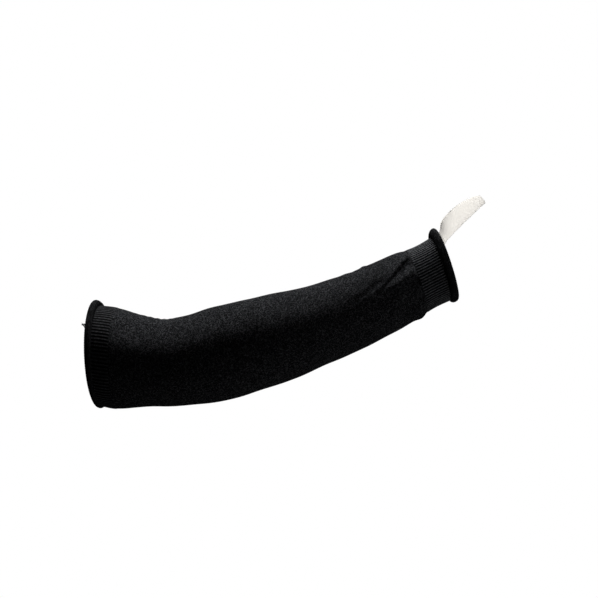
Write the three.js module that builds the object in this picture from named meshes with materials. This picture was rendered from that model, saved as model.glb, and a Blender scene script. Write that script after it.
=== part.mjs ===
// A cut resistant work sleeve: a knitted tube with a slight bend at its elbow. A ribbed cuff
// with a rolled hem ends it at the wrist, and a ribbed band with a thinner rolled hem at its
// wide arm opening. A white elastic thumb loop is tacked inside the top of the cuff.
//
// The origin is the centre of the arm opening. +X runs along the sleeve to the wrist opening,
// +Z is up, on the inner side of the bend and on the loop's side, and -Y is the front.
import * as THREE from "three";

// Driving sizes, in millimetres
const SLEEVE_LENGTH = 365; // along the middle line, from hem to hem
const ARM_HEIGHT = 98; // outside of the knit near the arm opening, from top to bottom
const ARM_DEPTH = 86;
const ELBOW_HEIGHT = 84.5;
const ELBOW_DEPTH = 82;
const FOREARM_HEIGHT = 91.5;
const FOREARM_DEPTH = 82;
const WRIST_HEIGHT = 63.5;
const WRIST_DEPTH = 47;
const KNIT_WALL = 1.5;

const CUFF_RIBS = 72;
const ARM_BAND_RIBS = 88;
const RIB_RELIEF = 0.7;
const RIB_WALL = 2;
const CUFF_LENGTH = 26;
const ARM_BAND_LENGTH = 16;

const WRIST_ROLL_WIDTH = 8; // along the sleeve
const WRIST_ROLL_THICKNESS = 7.2;
const ARM_ROLL_WIDTH = 6;
const ARM_ROLL_THICKNESS = 6;
const ROLL_FULLNESS = 0.24; // how much thicker a roll is at the top than in the middle

const FOLD_HEIGHT = 3; // the deepest fold where the loose knit runs into the cuff
const FOLD_BREADTH = 7;
const FOLD_RUN = 50; // how far the longest of them runs back from the cuff

const STRAP_WIDTH = 16.5;
const STRAP_THICKNESS = 1.2;
const STRAP_TUCK = 15; // the length of each end that lies inside the cuff
const STRAP_ENDS_APART = 3; // between the strap's two ends, over the top of the cuff
const LOOP_REACH = 58; // from the wrist opening to the far end of the loop
const LOOP_BOW = 8.4; // how far the loop arches up
const LOOP_SPREAD = 17; // half the width of the loop, from front to back

const TAIL_LENGTH = 3.5; // the cut end of yarn at the arm hem
const TAIL_WIDTH = 1.3;

const SEAM_GAP = 0.3; // between pieces that meet
const STRAP_GAP = 0.5; // between the strap and the inside of the cuff

// Angles, in degrees
const LOOP_SLOPE = 38.5; // the loop's direction above the horizontal
const TAIL_AROUND = 54; // from the top, towards the front
const TAIL_RISE = 38; // the tail's direction above the horizontal

// How finely the surfaces are divided
const BODY_POINTS = 48;
const BODY_ROWS = 32;
const BODY_ROW_EASE = 0.62; // rows lie closer together towards the wrist, where the folds are
const CUFF_ROWS = 2;
const BAND_ROWS = 1;
const ROLL_POINTS = 36;
const ROLL_PROFILE_POINTS = 8;
const STRAP_ROWS = 42;
const STRAP_ACROSS = 4;
const TAIL_ROWS = 3;
const TAIL_POINTS = 6;
const LINE_STEPS = 400;

// What each row of SECTIONS takes its size from
const GIRTHS = {
  arm: { height: ARM_HEIGHT, depth: ARM_DEPTH },
  elbow: { height: ELBOW_HEIGHT, depth: ELBOW_DEPTH },
  forearm: { height: FOREARM_HEIGHT, depth: FOREARM_DEPTH },
  wrist: { height: WRIST_HEIGHT, depth: WRIST_DEPTH },
};

// The sleeve's sections. along: share of the sleeve's length. slope and yaw: the direction of
// the middle line, in degrees up and towards the back. lean: the tilt of the section itself.
// height and depth: shares of the girth that the row names.
const SECTIONS = [
  { along: 0.0, slope: -8.5, yaw: -7, lean: 2.5, of: "arm", height: 1.0, depth: 1.0 },
  { along: 0.055, slope: -8, yaw: -7, lean: 0, of: "arm", height: 1.012, depth: 1.0 },
  { along: 0.12, slope: -6, yaw: -6, lean: -2, of: "arm", height: 0.93, depth: 0.97 },
  { along: 0.18, slope: -0.5, yaw: -5, lean: 0, of: "elbow", height: 1.01, depth: 1.0 },
  { along: 0.25, slope: 8.8, yaw: -4, lean: 7.5, of: "elbow", height: 1.03, depth: 1.0 },
  { along: 0.33, slope: 14.3, yaw: -2, lean: 11.5, of: "forearm", height: 1.0, depth: 0.99 },
  { along: 0.42, slope: 15.2, yaw: 0, lean: 14.5, of: "forearm", height: 0.985, depth: 1.0 },
  { along: 0.52, slope: 16.8, yaw: 1, lean: 17.5, of: "forearm", height: 0.94, depth: 0.95 },
  { along: 0.61, slope: 19, yaw: 2, lean: 19.5, of: "forearm", height: 0.865, depth: 0.87 },
  { along: 0.7, slope: 21.6, yaw: 3, lean: 20.5, of: "forearm", height: 0.82, depth: 0.79 },
  { along: 0.78, slope: 26, yaw: 3.5, lean: 21, of: "wrist", height: 1.13, depth: 1.28 },
  { along: 0.85, slope: 26, yaw: 4, lean: 20.5, of: "wrist", height: 1.085, depth: 1.17 },
  { along: 0.885, slope: 25.5, yaw: 4, lean: 19.5, of: "wrist", height: 1.06, depth: 1.1 },
  { along: 0.905, slope: 26, yaw: 4, lean: 19, of: "wrist", height: 1.01, depth: 1.03 },
  { along: 0.94, slope: 27, yaw: 4, lean: 18, of: "wrist", height: 0.985, depth: 0.98 },
  { along: 1.0, slope: 28.5, yaw: 4, lean: 18, of: "wrist", height: 1.03, depth: 1.02 },
];

// Folds in the loose knit. Each runs straight between two places on it, given by their way
// back from the cuff and their angle from the top, towards the front. back and toBack: shares
// of FOLD_RUN. height and breadth: shares of FOLD_HEIGHT and FOLD_BREADTH, and a hollow has a
// minus.
const FOLDS = [
  { back: 0.02, around: 36, toBack: 0.56, toAround: 62, height: 0.6, breadth: 0.8 },
  { back: 0.02, around: 47, toBack: 0.58, toAround: 79, height: -0.95, breadth: 0.55 },
  { back: 0.04, around: 64, toBack: 0.41, toAround: 82, height: 0.65, breadth: 0.9 },
  { back: 0.04, around: 87, toBack: 1.0, toAround: 91, height: -0.9, breadth: 0.7 },
  { back: 0.08, around: 103, toBack: 0.77, toAround: 106, height: 0.6, breadth: 0.9 },
  { back: 0.04, around: 118, toBack: 0.45, toAround: 124, height: -0.5, breadth: 0.6 },
  { back: 0.08, around: 134, toBack: 0.48, toAround: 140, height: 0.4, breadth: 0.7 },
  { back: 0.04, around: 158, toBack: 0.41, toAround: 152, height: -0.4, breadth: 0.6 },
  { back: 0.15, around: 192, toBack: 0.15, toAround: 140, height: 0.6, breadth: 0.9 },
  { back: 1.25, around: -8, toBack: 1.4, toAround: 26, height: 0.2, breadth: 0.6 },
  { back: 0.04, around: -42, toBack: 0.63, toAround: -70, height: -0.8, breadth: 0.6 },
  { back: 0.08, around: -62, toBack: 0.48, toAround: -84, height: 0.6, breadth: 0.9 },
  { back: 0.04, around: -88, toBack: 0.85, toAround: -100, height: -0.7, breadth: 0.7 },
  { back: 0.04, around: -122, toBack: 0.56, toAround: -128, height: -0.6, breadth: 0.6 },
];

// The strap's middle line, from the wrist opening to the far end of the loop. reach, bow and
// side: shares of LOOP_REACH, LOOP_BOW and LOOP_SPREAD. twist: how far the strap has turned
// from lying on the cuff's wall to standing in the loop's own plane. width: share of
// STRAP_WIDTH. cup: how far the strap's edges curl in, as a share of their curl in the cuff.
const LOOP_ROWS = [
  { reach: 0.066, bow: 0.24, side: 0.62, twist: 0.2, width: 1.0, cup: 0.9 },
  { reach: 0.21, bow: 0.58, side: 0.86, twist: 0.65, width: 1.0, cup: 0.7 },
  { reach: 0.42, bow: 0.8, side: 1.0, twist: 1.0, width: 1.03, cup: 0.6 },
  { reach: 0.63, bow: 0.9, side: 0.96, twist: 1.0, width: 1.0, cup: 0.45 },
  { reach: 0.82, bow: 0.84, side: 0.76, twist: 1.0, width: 0.84, cup: 0.3 },
  { reach: 0.95, bow: 0.68, side: 0.38, twist: 1.0, width: 0.64, cup: 0.3 },
  { reach: 1.0, bow: 0.6, side: 0.0, twist: 1.0, width: 0.56, cup: 0.3 },
];

const rad = THREE.MathUtils.degToRad;
const mix = THREE.MathUtils.lerp;
const range = (count) => [...Array(count).keys()];

// A smooth curve through one column of a table, at a place along its first column.
function columnAt(rows, key, column, at) {
  const last = rows.length - 1;
  let i = 0;
  while (i < last - 1 && rows[i + 1][key] < at) i++;
  const value = (k) => column(rows[Math.min(Math.max(k, 0), last)]);
  const place = (k) => rows[Math.min(Math.max(k, 0), last)][key];
  const span = place(i + 1) - place(i);
  const slopeAt = (k) => (value(k + 1) - value(k - 1)) / (place(k + 1) - place(k - 1));
  const t = THREE.MathUtils.clamp((at - place(i)) / span, 0, 1);
  const [t2, t3] = [t * t, t * t * t];
  return (
    (2 * t3 - 3 * t2 + 1) * value(i) +
    (t3 - 2 * t2 + t) * span * slopeAt(i) +
    (3 * t2 - 2 * t3) * value(i + 1) +
    (t3 - t2) * span * slopeAt(i + 1)
  );
}

const sectionAt = (along, column) => columnAt(SECTIONS, "along", column, along);

// The sleeve's middle line, added up in short steps from the arm opening.
const middleLine = [new THREE.Vector3()];
for (const i of range(LINE_STEPS)) {
  const along = (i + 0.5) / LINE_STEPS;
  const slope = rad(sectionAt(along, (row) => row.slope));
  const yaw = rad(sectionAt(along, (row) => row.yaw));
  const step = new THREE.Vector3(
    Math.cos(slope) * Math.cos(yaw),
    Math.sin(yaw),
    Math.sin(slope) * Math.cos(yaw),
  );
  middleLine.push(step.multiplyScalar(SLEEVE_LENGTH / LINE_STEPS).add(middleLine[i]));
}

// Where the pieces start and end along the sleeve
const armBandStart = ARM_ROLL_WIDTH + SEAM_GAP;
const armBandEnd = armBandStart + ARM_BAND_LENGTH;
const bodyStart = armBandEnd + SEAM_GAP;
const wristRollStart = SLEEVE_LENGTH - WRIST_ROLL_WIDTH;
const cuffEnd = wristRollStart - SEAM_GAP;
const cuffStart = cuffEnd - CUFF_LENGTH;
const bodyEnd = cuffStart - SEAM_GAP;

// The frame of the section at a distance along the sleeve: its centre, the way to its top,
// the way to its front, and half of its height and depth.
function frameAt(distance) {
  const along = THREE.MathUtils.clamp(distance / SLEEVE_LENGTH, 0, 1);
  const step = Math.min(Math.floor(along * LINE_STEPS), LINE_STEPS - 1);
  const centre = middleLine[step].clone().lerp(middleLine[step + 1], along * LINE_STEPS - step);
  const lean = rad(sectionAt(along, (row) => row.lean));
  const yaw = rad(sectionAt(along, (row) => row.yaw));
  return {
    centre,
    up: new THREE.Vector3(-Math.sin(lean), 0, Math.cos(lean)),
    front: new THREE.Vector3(
      Math.sin(yaw) * Math.cos(lean),
      -Math.cos(yaw),
      Math.sin(yaw) * Math.sin(lean),
    ),
    height: sectionAt(along, (row) => row.height * GIRTHS[row.of].height) / 2,
    depth: sectionAt(along, (row) => row.depth * GIRTHS[row.of].depth) / 2,
  };
}

// How far the folds lift the knit at a place on it, given by distance along the sleeve and
// angle from the top.
function foldLift(distance, around) {
  const frame = frameAt(distance);
  const girthRadius = (frame.height + frame.depth) / 2;
  const place = new THREE.Vector2(cuffStart - distance, 0);
  let lift = 0;
  for (const fold of FOLDS) {
    const middle = rad((fold.around + fold.toAround) / 2);
    const turn = THREE.MathUtils.euclideanModulo(around - middle + Math.PI, 2 * Math.PI) - Math.PI;
    place.y = (turn + middle) * girthRadius;
    const start = new THREE.Vector2(fold.back * FOLD_RUN, rad(fold.around) * girthRadius);
    const end = new THREE.Vector2(fold.toBack * FOLD_RUN, rad(fold.toAround) * girthRadius);
    const run = end.sub(start);
    const share = THREE.MathUtils.clamp(place.clone().sub(start).dot(run) / run.lengthSq(), 0, 1);
    const away = place.distanceTo(start.addScaledVector(run, share));
    const fade = Math.cos((share * Math.PI) / 2);
    lift += fold.height * FOLD_HEIGHT * fade * Math.exp(-((away / fold.breadth / FOLD_BREADTH) ** 2));
  }
  return lift;
}

// A point on the sleeve, lifted off its outer surface by an amount.
function surfacePoint(distance, around, lift) {
  const frame = frameAt(distance);
  const [c, s] = [Math.cos(around), Math.sin(around)];
  const normal = frame.up
    .clone()
    .multiplyScalar(c / frame.height)
    .addScaledVector(frame.front, s / frame.depth)
    .normalize();
  return frame.centre
    .clone()
    .addScaledVector(frame.up, frame.height * c)
    .addScaledVector(frame.front, frame.depth * s)
    .addScaledVector(normal, lift);
}

// The mesh over rows of points, each row a closed ring. The rows themselves close round to
// the first one, or the first and last are capped.
function skin(rows, capped) {
  const count = rows[0].length;
  const positions = rows.flat().flatMap((p) => [p.x, p.y, p.z]);
  const faces = [];
  for (const i of range(capped ? rows.length - 1 : rows.length)) {
    const [here, next] = [i * count, ((i + 1) % rows.length) * count];
    for (const k of range(count)) {
      const after = (k + 1) % count;
      faces.push(here + k, here + after, next + after, here + k, next + after, next + k);
    }
  }
  if (capped) {
    const last = (rows.length - 1) * count;
    for (const k of range(count / 2 - 1)) {
      const [a, b, c, d] = [k, k + 1, count - 2 - k, count - 1 - k];
      faces.push(a, c, b, a, d, c, last + a, last + b, last + c, last + a, last + c, last + d);
    }
  }
  const geometry = new THREE.BufferGeometry();
  geometry.setAttribute("position", new THREE.Float32BufferAttribute(positions, 3));
  geometry.setIndex(faces);
  return geometry;
}

// A knitted wall from one distance to another: its outer rings, then its inner ones back.
// distances: the rings' places. lift: the outer surface's lift at a ring and a point.
function knitWall(distances, points, wall, lift) {
  const ring = (distance, inward) =>
    range(points).map((k) => {
      const around = (2 * Math.PI * k) / points;
      return surfacePoint(distance, around, lift(distance, around, k) - inward);
    });
  const outer = distances.map((distance) => ring(distance, 0));
  const inner = distances.map((distance) => ring(distance, wall)).reverse();
  return skin([...outer, ...inner], false);
}

const evenly = (from, to, rows) => range(rows + 1).map((i) => mix(from, to, i / rows));

// A rolled hem from one distance to another, flush with the inside of the ribbing.
function rolledHem(from, to, thickness) {
  const rows = range(ROLL_PROFILE_POINTS).map((j) => {
    const turn = (2 * Math.PI * j) / ROLL_PROFILE_POINTS;
    return range(ROLL_POINTS).map((k) => {
      const around = (2 * Math.PI * k) / ROLL_POINTS;
      const half = (thickness / 2) * (1 + ROLL_FULLNESS * Math.cos(around));
      const distance = (from + to) / 2 - ((to - from) / 2) * Math.cos(turn);
      return surfacePoint(distance, around, half - RIB_WALL + half * Math.sin(turn));
    });
  });
  return skin(rows, false);
}

function knitBody() {
  const distances = range(BODY_ROWS + 1).map((i) => {
    const share = i / BODY_ROWS;
    return mix(bodyStart, bodyEnd, share * (1 + BODY_ROW_EASE * (1 - share)));
  });
  return knitWall(distances, BODY_POINTS, KNIT_WALL, foldLift);
}

// Ribbing: every other point round the wall stands out by the ribs' relief.
function ribbedWall(from, to, rows, ribs) {
  const lift = (distance, around, k) => (k % 2) * RIB_RELIEF - RIB_RELIEF / 2;
  return knitWall(evenly(from, to, rows), 2 * ribs, RIB_WALL, lift);
}

// The thumb loop: one strap, out of the front half of the cuff and back into the other half.
function thumbLoop() {
  const inset = -(RIB_WALL + RIB_RELIEF / 2 + STRAP_GAP + STRAP_THICKNESS / 2);
  const wrist = frameAt(SLEEVE_LENGTH);
  const [height, depth] = [wrist.height + inset, wrist.depth + inset];
  const around = (STRAP_WIDTH + STRAP_ENDS_APART) / 2 / depth;
  const bend = Math.hypot(height * Math.sin(around), depth * Math.cos(around)) ** 3 / (height * depth);
  const cuffCup = (STRAP_WIDTH / 2) ** 2 / (2 * bend);

  const slope = rad(LOOP_SLOPE);
  const forward = new THREE.Vector3(Math.cos(slope), 0, Math.sin(slope));
  const upright = new THREE.Vector3(-Math.sin(slope), 0, Math.cos(slope));
  const front = new THREE.Vector3(0, -1, 0);
  const exits = [1, -1].map((side) => surfacePoint(SLEEVE_LENGTH, side * around, inset));
  const root = exits[0].clone().setY((exits[0].y + exits[1].y) / 2);

  // One leg's stations, from its end in the cuff to the far end of the loop. side is 1 for
  // the front leg and -1 for the other.
  const legStations = (side) => {
    const onWall = wrist.up
      .clone()
      .multiplyScalar(height * Math.sin(around))
      .addScaledVector(wrist.front, -side * depth * Math.cos(around))
      .normalize();
    const inside = [1, 0.5, 0].map((share) => ({
      place: surfacePoint(SLEEVE_LENGTH - share * STRAP_TUCK, side * around, inset),
      upward: onWall,
      width: 1,
      cup: 1,
    }));
    const outside = LOOP_ROWS.map((row) => ({
      place: root
        .clone()
        .addScaledVector(forward, row.reach * LOOP_REACH)
        .addScaledVector(upright, row.bow * LOOP_BOW)
        .addScaledVector(front, side * row.side * LOOP_SPREAD),
      upward: onWall.clone().lerp(upright, row.twist).normalize(),
      width: row.width,
      cup: row.cup,
    }));
    return [...inside, ...outside];
  };

  const backLeg = legStations(-1).slice(0, -1).reverse();
  const stations = [...legStations(1), ...backLeg];
  const line = new THREE.CatmullRomCurve3(stations.map((station) => station.place), false, "centripetal");
  const spans = stations.length - 1;

  const rings = range(STRAP_ROWS + 1).map((i) => {
    const t = i / STRAP_ROWS;
    const span = Math.min(Math.floor(t * spans), spans - 1);
    const [before, after] = [stations[span], stations[span + 1]];
    const share = t * spans - span;
    const middle = line.getPoint(t);
    const travel = line.getTangent(t);
    const upward = before.upward.clone().lerp(after.upward, share);
    upward.addScaledVector(travel, -upward.dot(travel)).normalize();
    const outward = travel.clone().cross(upward);
    const halfWidth = (mix(before.width, after.width, share) * STRAP_WIDTH) / 2;
    const cup = mix(before.cup, after.cup, share) * cuffCup;
    const face = (across, side) => {
      const normal = outward.clone().addScaledVector(upward, (2 * across * cup) / halfWidth).normalize();
      return middle
        .clone()
        .addScaledVector(upward, across * halfWidth)
        .addScaledVector(outward, -across * across * cup)
        .addScaledVector(normal, (side * STRAP_THICKNESS) / 2);
    };
    const places = evenly(-1, 1, STRAP_ACROSS);
    return [...places.map((across) => face(-across, 1)), ...places.map((across) => face(across, -1))];
  });
  return skin(rings, true);
}

// The cut end of yarn that sticks out of the arm hem.
function yarnTail() {
  const around = rad(TAIL_AROUND);
  const halfRoll = (ARM_ROLL_THICKNESS / 2) * (1 + ROLL_FULLNESS * Math.cos(around));
  const root = surfacePoint(0, around, halfRoll - RIB_WALL);
  const back = middleLine[0].clone().sub(middleLine[1]).normalize();
  root.addScaledVector(back, SEAM_GAP);
  const tip = new THREE.Vector3(-Math.cos(rad(TAIL_RISE)), 0, Math.sin(rad(TAIL_RISE)));
  const bend = root.clone().addScaledVector(back, TAIL_LENGTH / 2);
  const end = bend.clone().addScaledVector(tip, TAIL_LENGTH / 2);
  const line = new THREE.CatmullRomCurve3([root, bend, end]);
  const across = new THREE.Vector3(0, 1, 0);
  const rings = range(TAIL_ROWS + 1).map((i) => {
    const t = i / TAIL_ROWS;
    const travel = line.getTangent(t);
    const u = across.clone().addScaledVector(travel, -across.dot(travel)).normalize();
    const v = travel.clone().cross(u);
    return range(TAIL_POINTS).map((k) => {
      const turn = (2 * Math.PI * k) / TAIL_POINTS;
      return line
        .getPoint(t)
        .addScaledVector(u, (Math.cos(turn) * TAIL_WIDTH) / 2)
        .addScaledVector(v, (Math.sin(turn) * TAIL_WIDTH) / 2);
    });
  });
  return skin(rings, true);
}

const blackKnit = new THREE.MeshStandardMaterial({ color: 0x17181b, roughness: 0.92, metalness: 0 });
const blackRib = new THREE.MeshStandardMaterial({ color: 0x141518, roughness: 0.9, metalness: 0 });
const whiteElastic = new THREE.MeshStandardMaterial({ color: 0xeee9e2, roughness: 0.85, metalness: 0 });

function piece(name, geometry, material) {
  const mesh = new THREE.Mesh(geometry, material);
  mesh.name = name;
  return mesh;
}

const sleeve = new THREE.Group();
sleeve.add(
  piece("arm_roll", rolledHem(0, ARM_ROLL_WIDTH, ARM_ROLL_THICKNESS), blackRib),
  piece("arm_band", ribbedWall(armBandStart, armBandEnd, BAND_ROWS, ARM_BAND_RIBS), blackRib),
  piece("knit_body", knitBody(), blackKnit),
  piece("wrist_cuff", ribbedWall(cuffStart, cuffEnd, CUFF_ROWS, CUFF_RIBS), blackRib),
  piece("wrist_roll", rolledHem(wristRollStart, SLEEVE_LENGTH, WRIST_ROLL_THICKNESS), blackRib),
  piece("thumb_loop", thumbLoop(), whiteElastic),
  piece("yarn_tail", yarnTail(), blackRib),
);

export default sleeve;
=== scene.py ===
"""Looks of a cut resistant sleeve: black knit, ribbed cuff and band, rolled hems and a white loop."""

import math

import bpy
import numpy as np
from bpy.props import FloatProperty, FloatVectorProperty, IntProperty, PointerProperty
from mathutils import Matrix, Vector


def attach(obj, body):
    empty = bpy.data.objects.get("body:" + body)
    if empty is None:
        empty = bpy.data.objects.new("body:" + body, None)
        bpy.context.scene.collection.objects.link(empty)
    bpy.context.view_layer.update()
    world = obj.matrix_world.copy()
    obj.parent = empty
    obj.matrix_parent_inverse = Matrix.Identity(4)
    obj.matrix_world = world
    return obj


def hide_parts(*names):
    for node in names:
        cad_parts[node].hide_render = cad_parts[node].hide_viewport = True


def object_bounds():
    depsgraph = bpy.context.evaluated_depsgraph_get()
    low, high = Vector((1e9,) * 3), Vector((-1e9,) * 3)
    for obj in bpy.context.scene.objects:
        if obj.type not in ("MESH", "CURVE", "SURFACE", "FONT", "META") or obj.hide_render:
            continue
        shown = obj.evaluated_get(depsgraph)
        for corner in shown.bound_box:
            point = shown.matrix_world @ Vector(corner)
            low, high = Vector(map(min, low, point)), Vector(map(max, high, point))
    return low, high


bl_info = {
    "name": "Cut resistant sleeve",
    "version": (1, 0, 0),
    "blender": (4, 5, 0),
    "location": "3D View > Sidebar > Sleeve",
    "description": "Makes the knit, ribbing, rolled hems and thumb loop of a cut resistant sleeve",
    "category": "Mesh",
}

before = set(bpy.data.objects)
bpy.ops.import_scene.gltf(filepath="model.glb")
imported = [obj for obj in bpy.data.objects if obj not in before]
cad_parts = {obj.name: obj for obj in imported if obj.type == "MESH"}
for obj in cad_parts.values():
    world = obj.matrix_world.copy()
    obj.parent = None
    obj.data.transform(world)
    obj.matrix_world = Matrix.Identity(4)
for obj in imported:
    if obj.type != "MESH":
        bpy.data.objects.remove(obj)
SOLID_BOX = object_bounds()

MM = 0.001
TURN = 2 * math.pi

# Sizes of the solids that the looks are built on: lengths in metres, angles in radians
SLEEVE_LENGTH = 365 * MM
KNIT_WALL = 1.5 * MM
RIB_WALL = 2 * MM
RIB_RELIEF = 0.7 * MM
CUFF_LENGTH = 26 * MM
ARM_BAND_LENGTH = 16 * MM
WRIST_ROLL_WIDTH = 8 * MM
WRIST_ROLL_THICKNESS = 7.2 * MM
ARM_ROLL_WIDTH = 6 * MM
ARM_ROLL_THICKNESS = 6 * MM
ROLL_FULLNESS = 0.24
FOLD_HEIGHT = 3 * MM
FOLD_BREADTH = 7 * MM
FOLD_RUN = 50 * MM
STRAP_WIDTH = 16.5 * MM
STRAP_THICKNESS = 1.2 * MM
STRAP_TUCK = 15 * MM
STRAP_ENDS_APART = 3 * MM
STRAP_GAP = 0.5 * MM
LOOP_REACH = 58 * MM
LOOP_BOW = 8.4 * MM
LOOP_SPREAD = 17 * MM
LOOP_SLOPE = math.radians(38.5)
TAIL_LENGTH = 3.5 * MM
TAIL_AROUND = math.radians(54)
TAIL_RISE = math.radians(38)
SEAM_GAP = 0.3 * MM

# Steps that the middle line is added up in, and a short share of the strap's length
LINE_STEPS = 400
SHORT_STEP = 1e-4

# Girths that the sections take their size from: height and depth
ARM = (98 * MM, 86 * MM)
ELBOW = (84.5 * MM, 82 * MM)
FOREARM = (91.5 * MM, 82 * MM)
WRIST = (63.5 * MM, 47 * MM)

# Sections: share of the length, slope, yaw and lean in degrees, girth, shares of its height and depth
SECTIONS = [
    (0.0, -8.5, -7, 2.5, ARM, 1.0, 1.0),
    (0.055, -8, -7, 0, ARM, 1.012, 1.0),
    (0.12, -6, -6, -2, ARM, 0.93, 0.97),
    (0.18, -0.5, -5, 0, ELBOW, 1.01, 1.0),
    (0.25, 8.8, -4, 7.5, ELBOW, 1.03, 1.0),
    (0.33, 14.3, -2, 11.5, FOREARM, 1.0, 0.99),
    (0.42, 15.2, 0, 14.5, FOREARM, 0.985, 1.0),
    (0.52, 16.8, 1, 17.5, FOREARM, 0.94, 0.95),
    (0.61, 19, 2, 19.5, FOREARM, 0.865, 0.87),
    (0.7, 21.6, 3, 20.5, FOREARM, 0.82, 0.79),
    (0.78, 26, 3.5, 21, WRIST, 1.13, 1.28),
    (0.85, 26, 4, 20.5, WRIST, 1.085, 1.17),
    (0.885, 25.5, 4, 19.5, WRIST, 1.06, 1.1),
    (0.905, 26, 4, 19, WRIST, 1.01, 1.03),
    (0.94, 27, 4, 18, WRIST, 0.985, 0.98),
    (1.0, 28.5, 4, 18, WRIST, 1.03, 1.02),
]

# Folds: way back from the cuff and angle from the top at the start, the same two at the end, height
# and breadth. Angles are in degrees and the rest are shares of the fold sizes
FOLDS = [
    (0.02, 36, 0.56, 62, 0.5, 0.8),
    (0.02, 49, 0.6, 79, -0.35, 0.5),
    (0.06, 74, 0.85, 86, 1.0, 0.75),
    (0.04, 91, 1.15, 95, -1.0, 0.55),
    (0.08, 103, 0.77, 106, 0.6, 0.9),
    (0.04, 118, 0.45, 124, -0.5, 0.6),
    (0.08, 134, 0.48, 140, 0.4, 0.7),
    (0.04, 158, 0.41, 152, -0.4, 0.6),
    (0.15, 192, 0.15, 140, 0.6, 0.9),
    (1.25, -8, 1.4, 26, 0.2, 0.6),
    (0.04, -42, 0.63, -70, -0.8, 0.6),
    (0.08, -62, 0.48, -84, 0.6, 0.9),
    (0.04, -88, 0.85, -100, -0.7, 0.7),
    (0.04, -122, 0.56, -128, -0.6, 0.6),
]

# Small creases that only the knit's surface has, in the same columns
CREASES = [
    (0.3, 58, 0.03, 45, -0.42, 0.17),
    (0.3, 58, 1.05, 89, -0.42, 0.19),
    (0.03, 39, 0.75, 76, 0.34, 0.26),
    (0.05, 85, 1.2, 93, -0.5, 0.25),
    (0.08, 62, 0.4, 72, -0.12, 0.3),
    (0.86, 14, 0.96, -22, 0.34, 0.32),
    (1.07, 30, 1.15, -12, -0.2, 0.28),
    (0.7, 62, 1.7, 84, -0.3, 0.4),
    (0.3, 108, 1.0, 116, -0.35, 0.4),
    (0.1, 146, 0.8, 158, -0.3, 0.4),
    (0.02, 98, 0.3, 101, -0.16, 0.28),
    (0.02, 130, 0.28, 129, -0.14, 0.25),
    (0.02, 20, 0.16, 26, -0.12, 0.22),
    (0.02, 2, 0.2, -4, -0.1, 0.25),
    (0.02, -22, 0.24, -30, -0.14, 0.25),
    (0.02, 170, 0.26, 176, -0.14, 0.28),
    (0.02, -150, 0.3, -156, -0.16, 0.28),
]

# The strap from the cuff to its far end: reach, bow, side, twist, width and cup, which is how far its
# edges curl in. All are shares of the loop's sizes
LOOP_ROWS = [
    (0.066, 0.24, 0.62, 0.2, 1.0, 0.9),
    (0.21, 0.58, 0.86, 0.65, 1.0, 0.7),
    (0.42, 0.8, 1.0, 1.0, 1.03, 0.6),
    (0.63, 0.9, 0.96, 1.0, 1.0, 0.45),
    (0.82, 0.84, 0.76, 1.0, 0.84, 0.3),
    (0.95, 0.68, 0.38, 1.0, 0.64, 0.3),
    (1.0, 0.6, 0.0, 1.0, 0.56, 0.3),
]

BAND_START = ARM_ROLL_WIDTH + SEAM_GAP
BAND_END = BAND_START + ARM_BAND_LENGTH
WRIST_ROLL_START = SLEEVE_LENGTH - WRIST_ROLL_WIDTH
CUFF_END = WRIST_ROLL_START - SEAM_GAP
CUFF_START = CUFF_END - CUFF_LENGTH

# How far the knit reaches past its own ends, to close the seams and to end under the rolled hems
SEAM_LAP = 0.1 * MM
HEM_LAP = 0.6 * MM

# How finely the surfaces are divided, and how much closer the body's rows lie towards the cuff
CROWDING = 0.35
BODY_ROWS = 300
BODY_POINTS = 256
INNER_ROW_STEP = 5
RIB_POINTS = 8
ROWS_PER_COURSE = 4
INNER_RIB_ROWS = 6
BAR_POINTS = 6
ROLL_ROUNDS = 40
STRAP_ROWS = 560
STRAP_COLUMNS = 24
TAIL_STEPS = 25
PLY_SIDES = 8
STUDIO_SIDES = 64

# Knit finishes: slant of the stitches, depth of their relief and brightness of the pale fibres
KNIT_LOOKS = {
    "black_plain_knit": (0.55, 0.35 * MM, 1.0),
    "black_wrist_cuff_knit": (0.45, 0.25 * MM, 1.4),
    "black_arm_band_knit": (0.45, 0.25 * MM, 0.66),
    "black_rolled_knit": (0.3, 0.15 * MM, 0.16),
}

# Puckers at the ends of the plain knit: height, how far they reach, and how many there are round it
GATHER_HEIGHT = 0.16 * MM
GATHER_AT_CUFF = 5 * MM
GATHER_AT_BAND = 4 * MM
GATHERS = 33
LESSER_GATHERS = 21

# How far from a seam the folds, the broad waves and the ribs rise to their full height
FOLD_EASE = 3.5 * MM
SLACK_EASE = 12 * MM
RIB_EASE = 1.6 * MM

# A rib's share of its height at the seam, the power that rounds it, and its mean height
RIB_AT_SEAM = 0.25
RIB_ROUNDNESS = 2.4
RIB_MEAN = 0.55

# Broad waves of the knit, each two waves multiplied: height, waves round, along and shift of the
# first, and waves along and shift of the second
SLACK_WAVES = [
    (0.3 * MM, 2, 17, 1.0, 23, 0.5),
    (0.22 * MM, 3, -29, 0.0, 41, 2.0),
    (0.12 * MM, 5, 52, 0.7, 9, 0.0),
]

# Small pleats inside the bend: height, place along the sleeve, spread along and round it, number and
# lean. Place and spreads are shares
BEND_PLEATS = (0.28 * MM, 0.17, 0.05, 0.33, 300, 1.1)

# Unevenness of the rolled hems: share of the thickness, waves round and shift
HEM_WAVES = [(0.09, 3, 0.4), (0.05, 7, 0.0), (0.02, 13, 0.0)]

# Rolled hems: how far they swell past each edge, and the bars on them
HEM_SWELL = 0.15 * MM
WRIST_BARS = 96
ARM_BARS = 128
BAR_ROWS = 14
BAR_RELIEF = 0.22 * MM

# The strap's edges: how far its columns reach, how square they are, and the step of the scallops
EDGE_REACH = 0.985
EDGE_SQUARENESS = 7
SCALLOP_STEP = 1.5 * MM

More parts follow.
